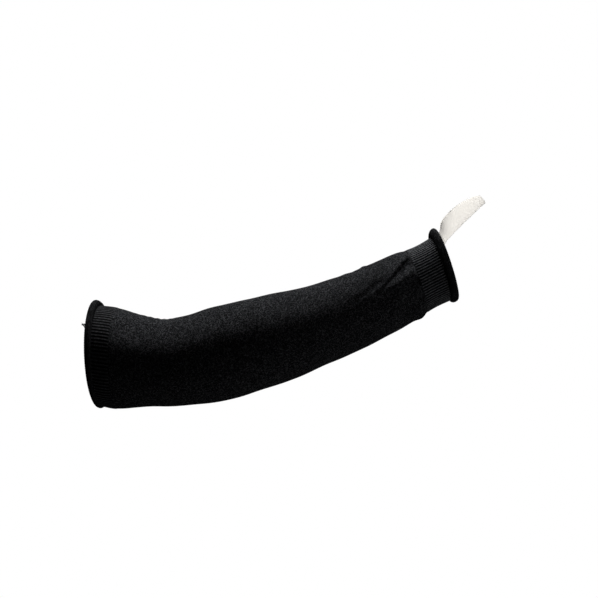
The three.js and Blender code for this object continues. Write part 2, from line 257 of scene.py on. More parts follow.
# Stitches that hold the strap's ends: their lines' places along it, points and reach, then sizes
TACK_PLACES = (0.012, 0.03, 0.97, 0.988)
TACK_POINTS = 40
TACK_REACH = 0.86
TACK_LIFT = 0.12 * MM
TACK_SPACING = 1.8 * MM
TACK_LENGTH = 1.6 * MM
TACK_RADIUS = 0.22 * MM

# Cut end of yarn: its plies, their radius, taper, twist and pattern, and how they part at the tip
TAIL_PLIES = 5
PLY_RADIUS = 0.42 * MM
PLY_TAPER = (1.1, 0.5)
PLY_END = 0.03 * MM
PLY_TWIST = 7
PLY_STEP = 0.4
TAIL_SUNK = 0.6 * MM
TAIL_LIFT = 1.5 * MM
TAIL_SPREAD = 0.55 * MM
TAIL_FRAY = 1.8 * MM
TAIL_FRAY_FROM = 0.4
TAIL_FAN = 0.75 * MM

# Studio wall from the middle of the floor to the middle of the ceiling: radius and height, in metres
STUDIO_PROFILE = [
    (0.02, -2.5),
    (5.5, -2.5),
    (6.6, -2.2),
    (7.4, -1.4),
    (7.8, 0.5),
    (7.8, 3.5),
    (7.0, 5.5),
    (5.0, 7.0),
    (2.5, 7.7),
    (0.02, 8.0),
]

# Lights: place from the sleeve's middle, width and depth, in metres
LAMPS = {
    "key": ((0.0, 0.36, 1.5), 1.5, 0.45),
    "fill": ((0.6, -0.14, -0.65), 0.6, 0.4),
    "wrist_light": ((0.17, -0.13, 0.2), 0.1, 0.1),
    "loop_light": ((0.15, -1.6, 0.35), 0.8, 0.8),
}
INNER_LIGHTS = (0.1, 0.3, 0.5, 0.7, 0.9)
INNER_LIGHT_RADIUS = 10 * MM

CAMERA_PLACE = (0.19996, -1.5, 0.05516)
CAMERA_LENS = 91.68
CAMERA_SENSOR = 36
CAMERA_RANGE = (0.05, 50)


def curve_through(places, values, at):
    """A smooth curve through a table's column, read at an array of places."""
    places = np.asarray(places, float)
    values = np.asarray(values, float)
    last = len(places) - 1
    after = np.minimum(np.arange(last + 1) + 1, last)
    before = np.maximum(np.arange(last + 1) - 1, 0)
    rise = (values[after] - values[before]) / (places[after] - places[before])
    i = np.clip(np.searchsorted(places, at) - 1, 0, last - 1)
    span = places[i + 1] - places[i]
    t = np.clip((at - places[i]) / span, 0, 1)
    t2, t3 = t * t, t * t * t
    return (
        (2 * t3 - 3 * t2 + 1) * values[i]
        + (t3 - 2 * t2 + t) * span * rise[i]
        + (3 * t2 - 2 * t3) * values[i + 1]
        + (t3 - t2) * span * rise[i + 1]
    )


ALONG = [row[0] for row in SECTIONS]
SLOPES = [row[1] for row in SECTIONS]
YAWS = [row[2] for row in SECTIONS]
LEANS = [row[3] for row in SECTIONS]
HEIGHTS = [row[4][0] * row[5] for row in SECTIONS]
DEPTHS = [row[4][1] * row[6] for row in SECTIONS]


def middle_line():
    """The sleeve's middle line, added up in short steps from the arm opening."""
    along = (np.arange(LINE_STEPS) + 0.5) / LINE_STEPS
    slope = np.radians(curve_through(ALONG, SLOPES, along))
    yaw = np.radians(curve_through(ALONG, YAWS, along))
    steps = np.stack([np.cos(slope) * np.cos(yaw), np.sin(yaw), np.sin(slope) * np.cos(yaw)], axis=-1)
    steps *= SLEEVE_LENGTH / LINE_STEPS
    return np.vstack([np.zeros(3), np.cumsum(steps, axis=0)])


MIDDLE = middle_line()


def sections_at(distance):
    """Centre, way up, way to the front, half height and half depth of sections of the sleeve."""
    along = np.clip(distance / SLEEVE_LENGTH, 0, 1)
    steps = np.arange(LINE_STEPS + 1) / LINE_STEPS
    centre = np.stack([np.interp(along, steps, MIDDLE[:, k]) for k in range(3)], axis=-1)
    lean = np.radians(curve_through(ALONG, LEANS, along))
    yaw = np.radians(curve_through(ALONG, YAWS, along))
    up = np.stack([-np.sin(lean), np.zeros_like(lean), np.cos(lean)], axis=-1)
    front = np.stack([np.sin(yaw) * np.cos(lean), -np.cos(yaw), np.sin(yaw) * np.sin(lean)], axis=-1)
    height = curve_through(ALONG, HEIGHTS, along) / 2
    depth = curve_through(ALONG, DEPTHS, along) / 2
    return centre, up, front, height, depth


def unit(vectors):
    """The same directions with length one."""
    return vectors / np.linalg.norm(vectors, axis=-1, keepdims=True)


def on_sleeve(distance, around, lift):
    """Points on the sleeve's surface, lifted off it, and the ways out of the surface there."""
    distance, around, lift = np.broadcast_arrays(distance, around, lift)
    centre, up, front, height, depth = sections_at(distance)
    c, s = np.cos(around), np.sin(around)
    out = unit(up * (c / height)[..., None] + front * (s / depth)[..., None])
    place = centre + up * (height * c)[..., None] + front * (depth * s)[..., None]
    return place + out * lift[..., None], out


def fold_lift(table, distance, around):
    """How far the folds of a table lift the knit."""
    distance, around = np.broadcast_arrays(distance, around)
    height, depth = sections_at(distance)[3:]
    radius = (height + depth) / 2
    back = CUFF_START - distance
    lift = np.zeros_like(back)
    for start_back, start_turn, end_back, end_turn, high, broad in table:
        middle = math.radians((start_turn + end_turn) / 2)
        turn = np.mod(around - middle + math.pi, TURN) - math.pi
        sideways = (turn + middle) * radius
        start = np.stack([np.full_like(radius, start_back * FOLD_RUN), math.radians(start_turn) * radius])
        end = np.stack([np.full_like(radius, end_back * FOLD_RUN), math.radians(end_turn) * radius])
        run = end - start
        offset = np.stack([back, sideways]) - start
        share = np.clip((offset * run).sum(0) / (run * run).sum(0), 0, 1)
        away = np.linalg.norm(offset - share * run, axis=0)
        fade = np.cos(share * math.pi / 2)
        lift += high * FOLD_HEIGHT * fade * np.exp(-((away / (broad * FOLD_BREADTH)) ** 2))
    return lift


def gathers(distance, around):
    """Fine puckers where the plain knit is drawn into the ribbing at both of its ends."""
    to_cuff = np.maximum(CUFF_START - distance, 0)
    to_band = np.maximum(distance - BAND_END, 0)
    wave = np.sin(GATHERS * around + 1.3 * np.sin(5 * around)) + 0.6 * np.sin(LESSER_GATHERS * around + 2)
    near_end = np.exp(-to_cuff / GATHER_AT_CUFF) + 0.45 * np.exp(-to_band / GATHER_AT_BAND)
    return GATHER_HEIGHT * wave * near_end


def slackness(distance, around):
    """Broad shallow unevenness of a knit that is stretched over a soft form."""
    along = distance / SLEEVE_LENGTH
    total = np.zeros(np.broadcast(distance, around).shape)
    for high, turns, lean, shift, length_waves, length_shift in SLACK_WAVES:
        wave = np.sin(turns * around + lean * along + shift)
        total += high * wave * np.sin(length_waves * along + length_shift)
    high, place, long, broad, pleats, lean = BEND_PLEATS
    inner_bend = np.exp(-(((along - place) / long) ** 2)) * np.exp(-((np.sin(around / 2) / broad) ** 2))
    total += high * inner_bend * np.sin(pleats * along + lean * np.cos(around))
    from_band = np.clip((distance - BAND_END) / SLACK_EASE, 0, 1)
    from_cuff = np.clip((CUFF_START - distance) / SLACK_EASE, 0, 1)
    return total * from_band * from_cuff


def closed_skin(name, rows, turns, lengths, stitch=(1.0, 1.0), capped=False):
    """A mesh over rings of points. turns and lengths give the pattern's place round and along it.

    The rows close round to the first one, or the first and last are capped.
    """
    count, around = rows.shape[:2]
    spans = count - 1 if capped else count
    i, k = np.meshgrid(np.arange(spans), np.arange(around), indexing="ij")
    next_i, next_k = (i + 1) % count, (k + 1) % around
    ring, next_ring = i * around, next_i * around
    quads = np.stack([ring + k, ring + next_k, next_ring + next_k, next_ring + k], -1)
    corner_turn = np.stack([turns[k], turns[k + 1], turns[k + 1], turns[k]], -1) * stitch[0]
    corner_length = np.stack([lengths[i], lengths[i], lengths[i + 1], lengths[i + 1]], -1) * stitch[1]
    faces = quads.reshape(-1, 4).tolist()
    pattern = np.stack([corner_turn, corner_length], -1).reshape(-1, 2)
    if capped:
        last = (count - 1) * around
        extra = []
        for step in range(around // 2 - 1):
            a, b, c, d = step, step + 1, around - 2 - step, around - 1 - step
            extra += [[a, d, c, b], [last + a, last + b, last + c, last + d]]
        faces += extra
        pattern = np.vstack([pattern, np.zeros((4 * len(extra), 2))])
    mesh = bpy.data.meshes.new(name)
    mesh.from_pydata(rows.reshape(-1, 3).tolist(), [], faces)
    layer = mesh.uv_layers.new(name="Stitches")
    layer.data.foreach_set("uv", pattern.astype(np.float32).ravel())
    mesh.polygons.foreach_set("use_smooth", np.ones(len(faces), bool))
    mesh.update()
    made = bpy.data.objects.new(name, mesh)
    bpy.context.scene.collection.objects.link(made)
    return made


def no_lift(distance, around):
    """Leaves the knit at the sleeve's plain form."""
    return np.zeros(np.broadcast(distance, around).shape)


def tube_wall(name, distances, inner_distances, points, wall, lift, stitch):
    """A knitted wall: its outer rings, then its inner ones back, and the ways out of its surface."""
    around = TURN * np.arange(points)[None, :] / points
    there = distances[:, None]
    back = inner_distances[::-1, None]
    outer, out = on_sleeve(there, around, lift(there, around))
    inner, inner_out = on_sleeve(back, around, lift(back, around) - wall)
    rows = np.concatenate([outer, inner])
    turns = np.arange(points + 1) / points
    lengths = np.concatenate([distances, back[:, 0], distances[:1]])
    made = closed_skin(name, rows, turns, lengths, stitch)
    ways = np.concatenate([out, inner_out])
    sides = np.concatenate([np.ones(outer.shape[:2]), np.zeros(inner.shape[:2])])
    return made, ways, lengths[:-1], turns[:-1], sides


def store(mesh, name, kind, values):
    """Keeps a value for each of a mesh's points."""
    layer = mesh.attributes.new(name, kind, "POINT")
    key = "vector" if kind == "FLOAT_VECTOR" else "value"
    layer.data.foreach_set(key, np.asarray(values, np.float32).ravel())


class Term:
    """A socket that sums can be written with: each operator adds a Math node."""

    def __init__(self, wiring, socket):
        self.wiring = wiring
        self.socket = socket

    def __add__(self, other):
        return self.wiring.maths("ADD", self, other)

    def __radd__(self, other):
        return self.wiring.maths("ADD", other, self)

    def __sub__(self, other):
        return self.wiring.maths("SUBTRACT", self, other)

    def __rsub__(self, other):
        return self.wiring.maths("SUBTRACT", other, self)

    def __mul__(self, other):
        return self.wiring.maths("MULTIPLY", self, other)

    def __rmul__(self, other):
        return self.wiring.maths("MULTIPLY", other, self)

    def __truediv__(self, other):
        return self.wiring.maths("DIVIDE", self, other)

    def __rtruediv__(self, other):
        return self.wiring.maths("DIVIDE", other, self)

    def __pow__(self, other):
        return self.wiring.maths("POWER", self, other)

    def __rpow__(self, other):
        return self.wiring.maths("POWER", other, self)

    def __abs__(self):
        return self.wiring.maths("ABSOLUTE", self)


class Wiring:
    """Adds nodes to a tree and links them."""

    def __init__(self, tree):
        self.tree = tree

    def node(self, kind, settings=None, sockets=None, result=0):
        """Adds a node: its type, its settings, then its sockets' values or links. Gives one output."""
        made = self.tree.nodes.new(kind)
        for key, value in (settings or {}).items():
            setattr(made, key, value)
        for key, value in (sockets or {}).items():
            self.fill(made.inputs[key], value)
        return Term(self, made.outputs[result]) if len(made.outputs) else None

    def fill(self, socket, value):
        """Links a term to a socket, or sets the socket's own value."""
        if isinstance(value, Term):
            self.tree.links.new(value.socket, socket)
        else:
            socket.default_value = value

    def maths(self, operation, *terms):
        """Adds a Math node."""
        return self.node("ShaderNodeMath", {"operation": operation}, dict(enumerate(terms)))

    def mix(self, factor, low, high):
        """A colour between two, by a factor."""
        return self.node("ShaderNodeMix", {"data_type": "RGBA"}, {0: factor, 6: low, 7: high}, 2)


class Finish(Wiring):
    """A material: its nodes, and the shader that they end in."""

    def __init__(self, name, specular, sheen, sheen_tint=(1, 1, 1)):
        self.material = bpy.data.materials.new(name)
        self.material.use_nodes = True
        super().__init__(self.material.node_tree)
        self.shader = self.tree.nodes["Principled BSDF"]
        self.shader.inputs["Specular IOR Level"].default_value = specular
        self.shader.inputs["Sheen Weight"].default_value = sheen
        self.shader.inputs["Sheen Roughness"].default_value = 0.5
        self.shader.inputs["Sheen Tint"].default_value = (*sheen_tint, 1)

    def stitches(self):
        """The place on the piece's own pattern, round and along it, in stitches."""
        place = self.node("ShaderNodeUVMap", {"uv_map": "Stitches"})
        across = self.node("ShaderNodeSeparateXYZ", sockets={0: place})
        return across, Term(self, across.socket.node.outputs[1])

    def speckle(self, scale, detail, roughness):
        """Fine irregular noise on object coordinates."""
        place = self.node("ShaderNodeTexCoord", result="Object")
        sockets = {"Vector": place, "Scale": scale, "Detail": detail, "Roughness": roughness}
        return self.node("ShaderNodeTexNoise", sockets=sockets)

    def each(self, across, along):
        """A random value for every stitch."""
        sockets = {"X": self.maths("FLOOR", across), "Y": self.maths("FLOOR", along)}
        cell = self.node("ShaderNodeCombineXYZ", sockets=sockets)
        return self.node("ShaderNodeTexWhiteNoise", {"noise_dimensions": "2D"}, {"Vector": cell})

    def between(self, value, low, high):
        """Rises smoothly from nought to one while a value goes from low to high."""
        settings = {"interpolation_type": "SMOOTHSTEP"}
        sockets = {"Value": value, "From Min": low, "From Max": high}
        return self.node("ShaderNodeMapRange", settings, sockets)

    def bump(self, height, distance):
        """Turns a height into a slope of the surface."""
        sockets = {"Height": height, "Distance": distance, "Strength": 1.0}
        return self.node("ShaderNodeBump", sockets=sockets)

    def finish(self, colour, normal, roughness):
        """Gives the shader its colour, relief and roughness."""
        self.fill(self.shader.inputs["Base Color"], colour)
        self.fill(self.shader.inputs["Normal"], normal)
        self.fill(self.shader.inputs["Roughness"], roughness)
        return self.material


def knit_finish(name, dark, light, ribbed=False):
    """Black yarn in columns of slanting stitches, paler fibres here and there, painted shade in hollows.
    """
    slant, depth, brightness = KNIT_LOOKS[name]
    finish = Finish(name, specular=0.05, sheen=0.004, sheen_tint=(0.8, 0.88, 1.0))
    across, along = finish.stitches()
    from_middle = abs(finish.maths("FRACT", across) - 0.5) * 2
    strand = along - slant * from_middle
    yarn = 0.5 + 0.5 * finish.maths("COSINE", strand * TURN)
    leg = finish.maths("SINE", from_middle * math.pi)
    height = (yarn ** 0.7) * (0.3 + 0.7 * leg)
    fibres = finish.speckle(scale=1500.0, detail=3.0, roughness=0.6)
    broad = finish.speckle(scale=28.0, detail=3.0, roughness=0.55)
    heather = finish.each(across, strand)
    grain = finish.speckle(scale=900.0, detail=2.0, roughness=0.8)
    mottled = finish.between(grain, 0.45, 0.56)
    if ribbed:
        pale = (0.6 + 0.4 * heather) * (0.5 + 0.5 * mottled)
        # Towards the grooves between ribs the colour goes nearly to the dark yarn: painted shade.
        pale = pale * (1 - 0.98 * finish.between(from_middle, 0.28, 0.52))
    else:
        pale = (0.12 + 1.02 * heather) * (0.04 + 1.06 * mottled)
    # Darker where the stitches' relief is low: painted shade in the hollows between stitches.
    pale = pale * (0.3 + 0.7 * height) * (0.7 + 0.6 * broad) * brightness
    colour = finish.mix(finish.maths("MINIMUM", pale, 1.0), (*dark, 1), (*light, 1))
    surface = height + 0.35 * fibres
    return finish.finish(colour, finish.bump(surface, depth), 0.82 + 0.14 * fibres)


def ivory_finish(name):
    """White woven elastic: cords along, fine threads across, a soft nap, and painted shade between them.
    """
    finish = Finish(name, specular=0.25, sheen=0.15, sheen_tint=(1, 0.98, 0.95))
    across, along = finish.stitches()
    cord = abs(finish.maths("SINE", across * math.pi))
    weft = 0.5 + 0.5 * finish.maths("COSINE", (along + 0.5 * finish.maths("FLOOR", across)) * TURN)
    nap = finish.speckle(scale=1900.0, detail=3.0, roughness=0.6)
    patches = finish.speckle(scale=140.0, detail=3.0, roughness=0.6)
    height = 0.6 * (cord ** 0.6) + 0.4 * weft * cord + 0.3 * nap
    # Darker between the cords and between the crosswise threads: painted shade. The patches add darker
    # and paler tone at random.
    shade = 0.35 * (1 - cord) + 0.25 * (1 - weft) + 0.5 * (patches - 0.45)
    shade = finish.maths("MINIMUM", finish.maths("MAXIMUM", shade, 0.0), 1.0)
    colour = finish.mix(shade, (0.86, 0.835, 0.79, 1), (0.68, 0.64, 0.58, 1))
    return finish.finish(colour, finish.bump(height, 0.15 * MM), 0.72 + 0.2 * nap)


def thread_finish(name, colour, pale):
    """Twisted thread, with its plies as a fine slanting wave, and painted shade between the plies."""
    finish = Finish(name, specular=0.3, sheen=0.1)
    across, along = finish.stitches()
    ply = 0.5 + 0.5 * finish.maths("COSINE", (across * 2 + along) * TURN)
    fluff = finish.speckle(scale=2600.0, detail=2.0, roughness=0.6)
    # Paler on the plies' crests and darker between them: painted shade. The fluff adds random tone.
    tone = finish.mix(ply * 0.6 + fluff * 0.4, (*colour, 1), (*pale, 1))
    return finish.finish(tone, finish.bump(ply + 0.4 * fluff, 0.12 * MM), 0.85)


def new_tree(name, sizes):
    """A Geometry Nodes tree with a mesh, its named sizes and a material in, and a mesh out."""
    tree = bpy.data.node_groups.new(name, "GeometryNodeTree")
    tree.interface.new_socket("Mesh", in_out="INPUT", socket_type="NodeSocketGeometry")
    for label in sizes:
        tree.interface.new_socket(label, in_out="INPUT", socket_type="NodeSocketFloat")
    tree.interface.new_socket("Material", in_out="INPUT", socket_type="NodeSocketMaterial")
    tree.interface.new_socket("Mesh", in_out="OUTPUT", socket_type="NodeSocketGeometry")
    wiring = Wiring(tree)
    given = wiring.node("NodeGroupInput").socket.node
    inputs = {socket.name: Term(wiring, socket) for socket in given.outputs if socket.name}
    return tree, wiring, inputs


def end_tree(wiring, geometry, material):
    """Ends a tree in real geometry with its material."""
    real = wiring.node("GeometryNodeRealizeInstances", sockets={"Geometry": geometry})
    smooth = wiring.node("GeometryNodeSetShadeSmooth", sockets={"Geometry": real})
    faced = wiring.node("GeometryNodeSetMaterial", sockets={"Geometry": smooth, "Material": material})
    wiring.node("NodeGroupOutput", sockets={"Mesh": faced})


def kept(wiring, name, kind="FLOAT"):
    """A value that the mesh keeps for each point."""
    return wiring.node("GeometryNodeInputNamedAttribute", {"data_type": kind}, {"Name": name})


def moved(wiring, mesh, lift):
    """Moves each point out of the surface by a lift."""
    way = kept(wiring, "way_out", "FLOAT_VECTOR")
    offset = wiring.node("ShaderNodeVectorMath", {"operation": "SCALE"}, {0: way, "Scale": lift})
    return wiring.node("GeometryNodeSetPosition", sockets={"Geometry": mesh, "Offset": offset})


def ribbing_tree():
    """Ribs along a tube, each a column of slanting stitches."""
    sizes = ["Ribs", "Rib relief", "Course length", "Stitch relief", "Slant"]
    tree, wiring, given = new_tree("Ribbing", sizes)
    turn = kept(wiring, "turn")
    along = kept(wiring, "along")
    side = kept(wiring, "side")
    ease = kept(wiring, "ease")
    from_middle = abs(wiring.maths("FRACT", turn * given["Ribs"]) - 0.5) * 2
    ridge = 1 - from_middle ** RIB_ROUNDNESS
    strand = along / given["Course length"] - given["Slant"] * from_middle
    stitch = wiring.maths("COSINE", strand * TURN) * ridge * side
    lift = given["Rib relief"] * (ridge - RIB_MEAN) + given["Stitch relief"] * stitch
    end_tree(wiring, moved(wiring, given["Mesh"], lift * ease), given["Material"])
    return tree


def roll_tree():
    """The back of the knit on a rolled hem: short bars in rows, set like bricks."""
    tree, wiring, given = new_tree("Rolled hem", ["Bars", "Rows", "Bar relief"])
    turn = kept(wiring, "turn")
    along = kept(wiring, "along")
    row = along * given["Rows"]
    shift = 0.5 * wiring.maths("FLOORED_MODULO", wiring.maths("FLOOR", row), 2.0)
    bar = wiring.maths("SINE", wiring.maths("FRACT", turn * given["Bars"] + shift) * math.pi) ** 0.5
    rise = wiring.maths("SINE", wiring.maths("FRACT", row) * math.pi) ** 0.6
    lift = given["Bar relief"] * (bar * rise - 0.5)
    end_tree(wiring, moved(wiring, given["Mesh"], lift), given["Material"])
    return tree


def tacking_tree():
    """Short stitches at even steps along a line."""
    tree, wiring, given = new_tree("Tacking", ["Spacing", "Stitch length", "Thread radius"])
    line = wiring.node("GeometryNodeMeshToCurve", sockets={"Mesh": given["Mesh"]})
    sockets = {"Curve": line, "Length": given["Spacing"]}
    steps = wiring.node("GeometryNodeResampleCurve", {"mode": "LENGTH"}, sockets)
    bead = wiring.node("GeometryNodeMeshUVSphere", sockets={"Segments": 8, "Rings": 6, "Radius": 0.5})
    size = {"X": given["Stitch length"], "Y": given["Thread radius"] * 2, "Z": given["Thread radius"] * 2}
    scale = wiring.node("ShaderNodeCombineXYZ", sockets=size)
    way = wiring.node("GeometryNodeInputTangent")
    turn = wiring.node("FunctionNodeAlignRotationToVector", {"axis": "X"}, {"Vector": way})
    sockets = {"Points": steps, "Instance": bead, "Rotation": turn, "Scale": scale}
    placed = wiring.node("GeometryNodeInstanceOnPoints", sockets=sockets)
    end_tree(wiring, placed, given["Material"])
    return tree


def grown(base, tree, values):
    """Runs a tree on an object and keeps the result as its plain mesh."""
    modifier = base.modifiers.new(tree.name, "NODES")
    modifier.node_group = tree
    for item in tree.interface.items_tree:
        if item.in_out == "INPUT" and item.name in values:
            modifier[item.identifier] = values[item.name]
    bpy.context.view_layer.update()
    graph = bpy.context.evaluated_depsgraph_get()
    result = bpy.data.meshes.new_from_object(base.evaluated_get(graph), depsgraph=graph)
    base.modifiers.remove(modifier)
    old = base.data
    base.data = result
    bpy.data.meshes.remove(old)
    result.name = base.name
    for name in ("turn", "along", "side", "ease", "way_out"):
        if name in result.attributes:
            result.attributes.remove(result.attributes[name])


def belongs(piece, slot, *nodes):
    """Hangs a finished piece on the frame, in place of the solids that it stands for."""
    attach(piece, "root")
    if nodes:
        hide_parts(*nodes)


def small_length(name, description, default):
    """A small length that a user can change."""
    return FloatProperty(name=name, description=description, default=default, unit="LENGTH", precision=5)


def yarn_colour(name, description, default):
    """A colour that a user can change."""
    return FloatVectorProperty(
        name=name, description=description, default=default, size=3, subtype="COLOR"
    )


def light_power(name, description, default):
    """The power of a light, which a user can change."""
    return FloatProperty(name=name, description=description, default=default, unit="POWER")


class KnitSettings(bpy.types.PropertyGroup):
    """Plain knit of the sleeve's body."""

    wales: IntProperty(
        name="Wales", description="Columns of stitches round the sleeve", default=192, min=60
    )
    course: small_length("Course", "Length of one stitch", 1.1 * MM)
    dark: yarn_colour("Yarn", "Colour of the yarn", (0.005, 0.0052, 0.0062))
    light: yarn_colour("Pale fibres", "Colour of its palest fibres", (0.17, 0.175, 0.187))


class RibSettings(bpy.types.PropertyGroup):
    """Ribbing of the wrist cuff and the arm band."""

    cuff_ribs: IntProperty(name="Cuff ribs", description="Ribs round the wrist cuff", default=72, min=12)
    band_ribs: IntProperty(name="Band ribs", description="Ribs round the arm band", default=88, min=12)
    relief: small_length("Relief", "Height of a rib over its groove", RIB_RELIEF)
    course: small_length("Course", "Length of one stitch", 1.3 * MM)
    stitch_relief: small_length("Stitch relief", "Height of a stitch on its rib", 0.09 * MM)
    dark: yarn_colour("Yarn", "Colour of the yarn", (0.005, 0.0051, 0.0058))
    light: yarn_colour("Pale fibres", "Colour of its palest fibres", (0.34, 0.35, 0.37))


class LoopSettings(bpy.types.PropertyGroup):
    """Elastic thumb loop."""

    cord: small_length("Cord", "Width of one of its lengthwise cords", 0.75 * MM)
    thread: small_length("Thread", "Width of one of its crosswise threads", 0.6 * MM)
    scallop: small_length("Scallop", "Depth of the scallops along its edges", 0.07 * MM)


class StageSettings(bpy.types.PropertyGroup):
    """Studio round the sleeve."""

    key: light_power("Key light", "Power of the light overhead", 25.0)
    wrist_light: light_power("Wrist light", "Power of the small light above the cuff", 0.045)
    fill: light_power("Fill light", "Power of the light below", 0.85)
    loop_light: light_power("Loop light", "Power of the front light on the loop", 27.5)
    inner_light: light_power("Inner light", "Power of each small light inside the sleeve", 0.02)
    ambient: FloatProperty(name="Ambient", description="Strength of the even light", default=0.006)


class SLEEVE_OT_knit_body(bpy.types.Operator):
    """Make the plain knit between the arm band and the cuff"""

    bl_idname = "sleeve.knit_body"
    bl_label = "Knit Body"

    def execute(self, context):
        knit = context.scene.sleeve_knit
        start = BAND_END - SEAM_LAP
        end = CUFF_START + SEAM_LAP
        share = np.linspace(0, 1, BODY_ROWS + 1)
        distances = start + (end - start) * share * (1 + CROWDING * (1 - share))
        inside = distances[::INNER_ROW_STEP]

        def lift(distance, around):
            folds = fold_lift(FOLDS, distance, around) + fold_lift(CREASES, distance, around)
            to_cuff = np.clip((CUFF_START - distance) / FOLD_EASE, 0, 1)
            ease = to_cuff * to_cuff * (3 - 2 * to_cuff)
            return folds * ease + gathers(distance, around) + slackness(distance, around)

        stitch = (knit.wales, 1 / knit.course)
        body, *_ = tube_wall("knit_body_cloth", distances, inside, BODY_POINTS, KNIT_WALL, lift, stitch)
        body.data.materials.append(knit_finish("black_plain_knit", knit.dark, knit.light))
        belongs(body, "black_knit", "knit_body")
        return {"FINISHED"}


class SLEEVE_OT_ribbing(bpy.types.Operator):
    """Make the ribbed wrist cuff and the ribbed arm band"""

    bl_idname = "sleeve.ribbing"
    bl_label = "Ribbing"

    def execute(self, context):
        ribs = context.scene.sleeve_ribs
        tree = ribbing_tree()
        for node, start, end, knit_edge, count in (
            ("wrist_cuff", CUFF_START - SEAM_LAP, CUFF_END + HEM_LAP, CUFF_START, ribs.cuff_ribs),
            ("arm_band", BAND_START - HEM_LAP, BAND_END + SEAM_LAP, BAND_END, ribs.band_ribs),
        ):
            label = f"black_{node}_knit"
            finish = knit_finish(label, ribs.dark, ribs.light, ribbed=True)
            rows = round((end - start) / (ribs.course / ROWS_PER_COURSE))
            distances = np.linspace(start, end, rows + 1)
            inside = np.linspace(start, end, INNER_RIB_ROWS)
            points = RIB_POINTS * count
            stitch = (count, 1 / ribs.course)
            piece, ways, lengths, turns, sides = tube_wall(
                f"{node}_ribs", distances, inside, points, RIB_WALL, no_lift, stitch
            )
            mesh = piece.data
            around, along = np.meshgrid(turns, lengths)
            store(mesh, "turn", "FLOAT", around)
            store(mesh, "along", "FLOAT", along)
            store(mesh, "side", "FLOAT", sides)
            to_knit = np.abs(along - knit_edge)
            store(mesh, "ease", "FLOAT", np.clip(RIB_AT_SEAM + to_knit / RIB_EASE, 0, 1))
            store(mesh, "way_out", "FLOAT_VECTOR", ways)
            values = {
                "Ribs": float(count),
                "Rib relief": ribs.relief,
                "Course length": ribs.course,
                "Stitch relief": ribs.stitch_relief,
                "Slant": KNIT_LOOKS[label][0],
                "Material": finish,
            }
            grown(piece, tree, values)
            belongs(piece, "black_rib_knit", node)
        return {"FINISHED"}


class SLEEVE_OT_rolled_hems(bpy.types.Operator):
    """Make the rolled hems at the wrist and at the arm opening"""

    bl_idname = "sleeve.rolled_hems"
    bl_label = "Rolled Hems"

    def execute(self, context):
        ribs = context.scene.sleeve_ribs
        finish = knit_finish("black_rolled_knit", ribs.dark, ribs.light)
        tree = roll_tree()
        for node, start, end, thickness, bars in (
            ("wrist_roll", WRIST_ROLL_START, SLEEVE_LENGTH, WRIST_ROLL_THICKNESS, WRIST_BARS),
            ("arm_roll", 0.0, ARM_ROLL_WIDTH, ARM_ROLL_THICKNESS, ARM_BARS),
        ):
            points = BAR_POINTS * bars
            turn = TURN * np.arange(ROLL_ROUNDS)[:, None] / ROLL_ROUNDS
            around = TURN * np.arange(points)[None, :] / points
            half = (thickness / 2) * (1 + ROLL_FULLNESS * np.cos(around))
            uneven = 1 + sum(share * np.sin(waves * around + shift) for share, waves, shift in HEM_WAVES)
            centre = (start + end) / 2
            distance = centre - ((end - start) / 2 + HEM_SWELL) * np.cos(turn)
            rows, _ = on_sleeve(distance, around, half - RIB_WALL + half * uneven * np.sin(turn))
            middle, _ = on_sleeve(centre, around, half - RIB_WALL)
            ways = unit(rows - middle)
            turns = np.arange(points + 1) / points
            lengths = np.arange(ROLL_ROUNDS + 1) / ROLL_ROUNDS
            piece = closed_skin(f"{node}_hem", rows, turns, lengths, (bars, BAR_ROWS))
            mesh = piece.data
            round_turn, profile_turn = np.meshgrid(turns[:-1], lengths[:-1])
            store(mesh, "turn", "FLOAT", round_turn)
            store(mesh, "along", "FLOAT", profile_turn)
            store(mesh, "way_out", "FLOAT_VECTOR", ways)
            values = {
                "Bars": float(bars),
                "Rows": float(BAR_ROWS),
                "Bar relief": BAR_RELIEF,
                "Material": finish,
            }
            grown(piece, tree, values)
            belongs(piece, "black_rib_knit", node)
        return {"FINISHED"}


def loop_stations():
    """The strap's stations from end to end: place, way across it, share of its width, and cup."""
    inset = -(RIB_WALL + RIB_RELIEF / 2 + STRAP_GAP + STRAP_THICKNESS / 2)
    _, up, front, height, depth = sections_at(np.array(SLEEVE_LENGTH))
    height, depth = height + inset, depth + inset
    around = (STRAP_WIDTH + STRAP_ENDS_APART) / 2 / depth
    bend = math.hypot(height * math.sin(around), depth * math.cos(around)) ** 3 / (height * depth)
    cuff_cup = (STRAP_WIDTH / 2) ** 2 / (2 * bend)
    forward = np.array([math.cos(LOOP_SLOPE), 0, math.sin(LOOP_SLOPE)])
    upright = np.array([-math.sin(LOOP_SLOPE), 0, math.cos(LOOP_SLOPE)])
    to_front = np.array([0, -1.0, 0])
    exits = [on_sleeve(SLEEVE_LENGTH, side * around, inset)[0] for side in (1, -1)]
    root = np.array([exits[0][0], (exits[0][1] + exits[1][1]) / 2, exits[0][2]])
    legs = []
    for side in (1, -1):
        on_wall = unit(up * height * math.sin(around) - front * side * depth * math.cos(around))
        leg = []
        for share in (1, 0.5, 0):
            place = on_sleeve(SLEEVE_LENGTH - share * STRAP_TUCK, side * around, inset)[0]
            leg.append((place, on_wall, 1.0, 1.0))
        for reach, bow, aside, twist, width, cup in LOOP_ROWS:
            place = root + forward * reach * LOOP_REACH + upright * bow * LOOP_BOW
            place = place + to_front * side * aside * LOOP_SPREAD
            way = unit(on_wall * (1 - twist) + upright * twist)
            leg.append((place, way, width, cup))
        legs.append(leg)
    stations = legs[0] + legs[1][:-1][::-1]
    return [np.array(column) for column in zip(*stations)], cuff_cup


